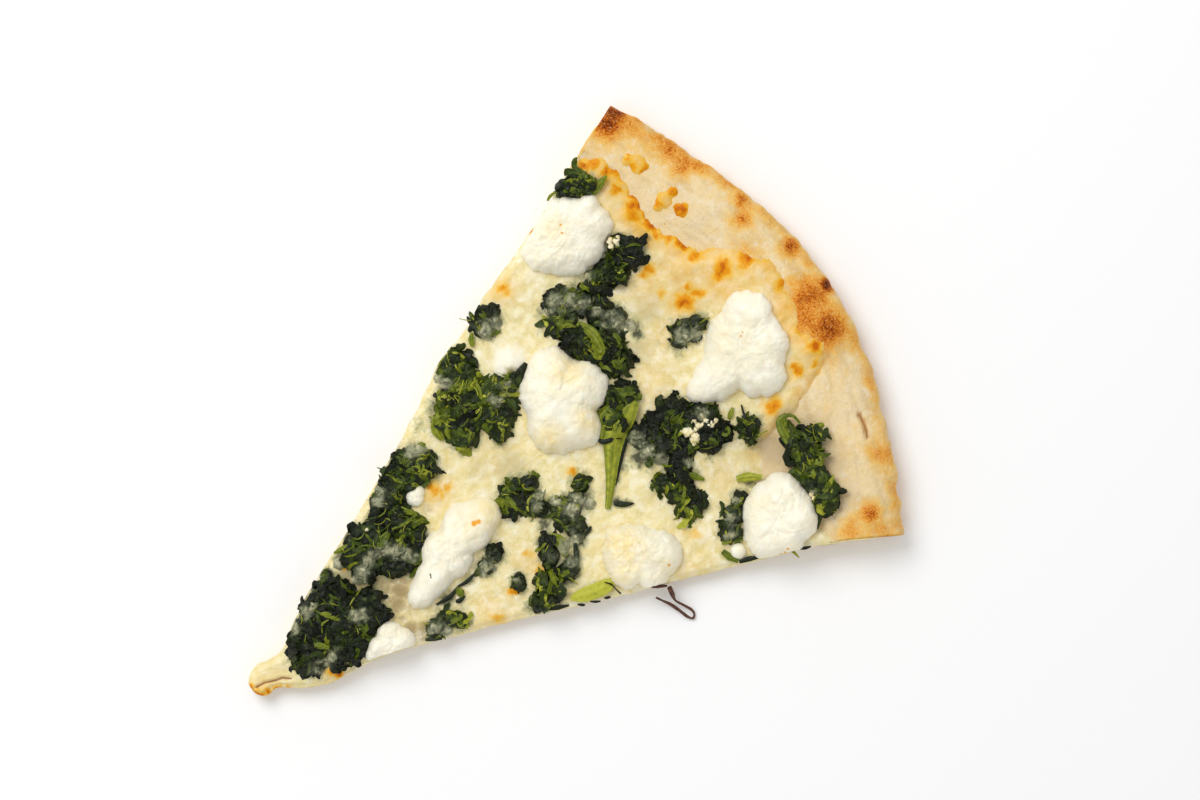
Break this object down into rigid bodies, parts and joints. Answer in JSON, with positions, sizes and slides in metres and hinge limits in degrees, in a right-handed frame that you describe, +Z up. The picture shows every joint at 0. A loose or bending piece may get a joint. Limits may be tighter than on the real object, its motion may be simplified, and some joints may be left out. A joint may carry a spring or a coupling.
{
  "type": "cheese pizza slice",
  "caption": "Cut slice of baked white pizza: thin dough with a raised browned rim, melted cheese, soft ricotta dollops and clumps of chopped spinach.",
  "frame": {"origin": "bottom centre of the slice's box, on the flat underside", "axes": "+X from the tip to the middle of the rim, +Z up from the underside through the toppings, +Y to the left cut when looking from the tip to the rim"},
  "size_m": [0.2128, 0.1562, 0.0207],
  "materials": {
    "crust": "baked dough, matte and floury, golden brown at the edge",
    "cheese": "melted cheese, pale yellow with browned spots, satin",
    "ricotta": "soft white cheese, matte and lumpy",
    "spinach": "cooked leaf, dark green, moist",
    "leaf": "pale yellow-green leaf, moist",
    "strand": "dried dark stem, matte"
  },
  "bodies": {
    "root": {"cheese": "cheese", "crust": "crust", "dried_strand": "strand", "pale_leaf": "leaf", "ricotta_1": "ricotta", "ricotta_2": "ricotta", "ricotta_3": "ricotta", "ricotta_4": "ricotta", "ricotta_5": "ricotta", "ricotta_6": "ricotta", "ricotta_7": "ricotta", "ricotta_8": "ricotta", "ricotta_9": "ricotta", "spinach_01": "spinach", "spinach_02": "spinach", "spinach_03": "spinach", "spinach_04": "spinach", "spinach_05": "spinach", "spinach_06": "spinach", "spinach_07": "spinach", "spinach_08": "spinach", "spinach_09": "spinach", "spinach_10": "spinach", "spinach_11": "spinach", "spinach_12": "spinach", "spinach_13": "spinach", "spinach_14": "spinach", "spinach_15": "spinach", "spinach_16": "spinach", "spinach_17": "spinach", "spinach_18": "spinach", "spinach_19": "spinach", "spinach_20": "spinach", "spinach_21": "spinach", "spinach_22": "spinach"}
  },
  "joints": []
}
